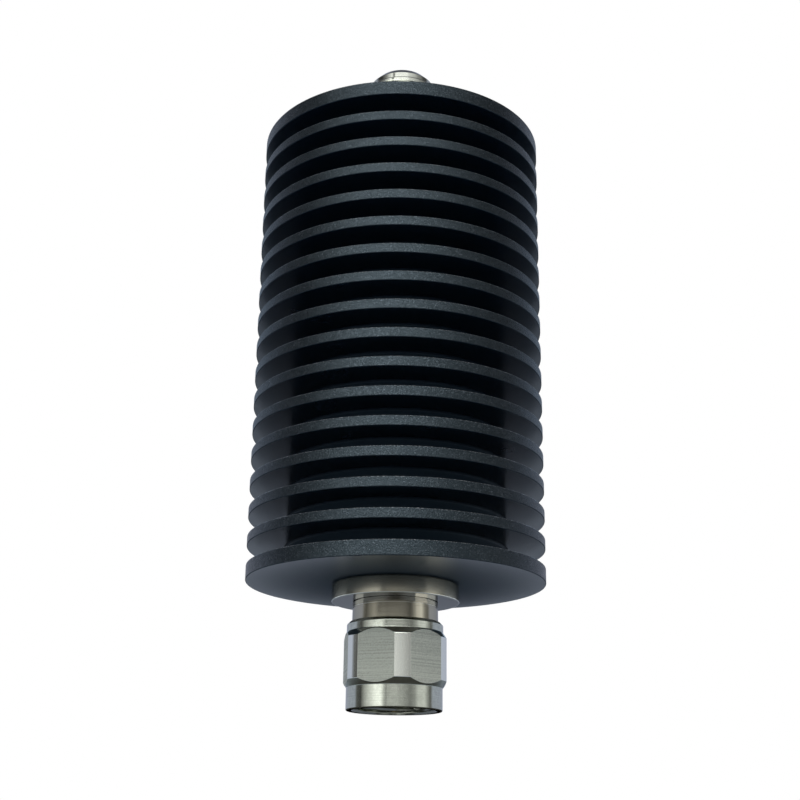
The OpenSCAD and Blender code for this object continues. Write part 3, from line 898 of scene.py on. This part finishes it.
def lamp(name, place, target, size, power, colour=(1, 1, 1), mirrors=None):
    """Soft lamp at a place, turned to a target. It lights the scene, or only shows in the given mirrors."""
    data = bpy.data.lights.new(name, "AREA")
    data.shape = "RECTANGLE"
    data.size, data.size_y = size
    data.energy = power
    data.color = colour
    obj = bpy.data.objects.new(name, data)
    obj.location = place
    obj.rotation_euler = (Vector(target) - Vector(place)).to_track_quat("-Z", "Y").to_euler()
    obj.visible_glossy = mirrors is not None
    obj.visible_diffuse = mirrors is None
    obj.visible_camera = False
    obj.light_linking.receiver_collection = mirrors
    bpy.context.scene.collection.objects.link(obj)


KEY_PLACE = (-0.05, -0.76, 0.62)
KEY_TARGET = (0, 0, 0.075)
KEY_SIZE = (0.55, 0.55)
KEY_POWER = 3.0
# Low strips beside the plug: azimuth in degrees from the camera's side, power in watts and colour
STRIP_REACH = 0.11
STRIP_SIZE = (0.08, 0.015)
STRIPS = (
    (73, 0.0075, (1.0, 1.0, 1.0)), (113, 0.0054, (0.84, 0.9, 1.0)), (-113, 0.005, (0.84, 0.9, 1.0)),
)


def make_lights(pieces):
    """One broad soft lamp in front of the object and above it, and low strips that the given pieces reflect.
    The rest of the gloss comes from the bright front of the world."""
    lamp("key", KEY_PLACE, KEY_TARGET, KEY_SIZE, KEY_POWER)
    mirrors = bpy.data.collections.new("strip mirrors")
    for piece in pieces:
        mirrors.objects.link(piece)
    height = STRIP_SIZE[1] / 2
    for azimuth, power, colour in STRIPS:
        angle = math.radians(azimuth)
        place = (STRIP_REACH * math.sin(angle), -STRIP_REACH * math.cos(angle), height)
        lamp("strip", place, (0, 0, height), STRIP_SIZE, power, colour, mirrors)


# Surround of the studio: colour by azimuth in degrees from the camera's side, positive to the right
BACKDROP = (0.46, 0.49, 0.6)
BACKDROP_HIGH = (0.36, 0.46, 0.6)
FLAG = 0.07
SURROUND_LOW = (
    (-107, BACKDROP), (-99, 0.13), (-86, FLAG), (-76, 0.47), (-62, 0.9), (-48, 1.45), (-33, 1.6),
    (-24, 0.66), (-20, 0.38), (-16, 0.6), (0, 0.66), (18, 0.51), (38, 0.29), (50, 0.43), (58, 0.77),
    (76, 0.84), (86, 0.42), (93, 0.16), (97, 0.2), (104, BACKDROP),
)
SURROUND_BAR = (
    (-99, BACKDROP), (-92, 0.25), (-84, 0.14), (-72, 0.27), (-58, 0.44), (-44, 0.14), (-20, 0.2),
    (22, 0.22), (42, 0.1), (52, 0.38), (60, 0.8), (74, 1.05), (86, 0.35), (97, 0.2), (106, BACKDROP),
)
SURROUND_HIGH = (
    (-122, BACKDROP_HIGH), (-108, FLAG), (-100, 0.03), (-72, 0.03), (-60, 1.2), (-46, 3.2), (-26, 6.2),
    (2, 5.7), (22, 3.5), (40, 1.4), (60, 0.35), (74, 0.03), (100, 0.03), (108, FLAG), (122, BACKDROP_HIGH),
)
SURROUND_TOP = (
    (-110, BACKDROP), (-98, FLAG), (-80, 0.06), (-60, 0.35), (-46, 1.0), (-37, 1.5), (-34.5, 0.35),
    (-28.5, 0.35), (-26, 1.5), (16, 1.45), (24, 1.0), (45, 0.74), (60, 0.38), (74, 0.28), (84, 0.1),
    (100, FLAG), (112, BACKDROP),
)
# Elevations in degrees over which one band gives way to the next, and how bright the surround is by elevation
BAR_START = (9.0, 9.4)
BAR_END = (13.5, 16.5)
TOP_START = (27.5, 30.5)
SURROUND_HEIGHTS = (
    (-90, 0.3), (-8, 0.36), (0, 0.9), (3, 1.0), (42, 1.0), (52, 0.45), (60, 0.28), (90, 0.28),
)
SOFT_LIGHT_STRENGTH = 0.8


def as_colour(level):
    """A colour as it is, or the grey of a number."""
    return level if isinstance(level, tuple) else (level,) * 3


def make_world():
    """White for the camera.
    Metal and soft light see a studio: pale backdrop, dark flags and a bright front."""
    world = bpy.data.worlds.new("studio")
    bpy.context.scene.world = world
    world.use_nodes = True
    nodes = world.node_tree.nodes
    links = world.node_tree.links
    background = nodes["Background"]
    split = nodes.new("ShaderNodeSeparateXYZ")
    links.new(nodes.new("ShaderNodeTexCoord").outputs["Generated"], split.inputs["Vector"])
    away = math_node(nodes, links, "MULTIPLY", split.outputs["Y"], -1.0)
    azimuth = math_node(nodes, links, "ARCTAN2", split.outputs["X"], away)
    turn = spread_from(nodes, links, azimuth, -math.pi, math.pi)
    studio, bar, high, top = (
        ramp(nodes, links, turn, *[(angle / 360 + 0.5, as_colour(level)) for angle, level in stops])
        for stops in (SURROUND_LOW, SURROUND_BAR, SURROUND_HIGH, SURROUND_TOP)
    )
    elevation = math_node(nodes, links, "ARCSINE", split.outputs["Z"])
    for limits, above in ((BAR_START, bar), (BAR_END, high), (TOP_START, top)):
        step = spread_from(nodes, links, elevation, *[math.radians(limit) for limit in limits])
        studio = blend_colour(nodes, links, step, studio, above)
    rise = spread_from(nodes, links, elevation, -math.pi / 2, math.pi / 2)
    heights = [(angle / 180 + 0.5, as_colour(level)) for angle, level in SURROUND_HEIGHTS]
    studio = blend_colour(nodes, links, 1.0, studio, ramp(nodes, links, rise, *heights), "MULTIPLY")
    path = nodes.new("ShaderNodeLightPath").outputs
    seen = math_node(nodes, links, "MAXIMUM", path["Is Camera Ray"], path["Is Transmission Ray"])
    shown = math_node(nodes, links, "MAXIMUM", seen, path["Is Glossy Ray"])
    links.new(blend_colour(nodes, links, seen, studio, (1.0, 1.0, 1.0)), background.inputs["Color"])
    links.new(spread(nodes, links, shown, SOFT_LIGHT_STRENGTH, 1.0), background.inputs["Strength"])


def build():
    """Makes the whole scene."""
    body, plug, jack, jack_thread, nut, nut_thread = make_pieces()
    materials = make_materials()
    dress(materials, [
        (body, "black_anodised"), (plug, "nickel_plate"), (jack, "nickel_plate"),
        (jack_thread, "nickel_plate"), (nut, "nickel_nut"), (nut_thread, "nickel_nut"),
    ])
    for piece in (body, plug, jack, jack_thread):
        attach(piece, "attenuator")
    for piece in (nut, nut_thread):
        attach(piece, "nut")
    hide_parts("heatsink_body")
    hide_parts("plug_shell")
    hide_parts("jack_shell")
    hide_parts("coupling_nut")
    make_camera()
    make_floor()
    make_lights((body, plug))
    make_world()
    bpy.context.scene.view_settings.view_transform = "Standard"


build()
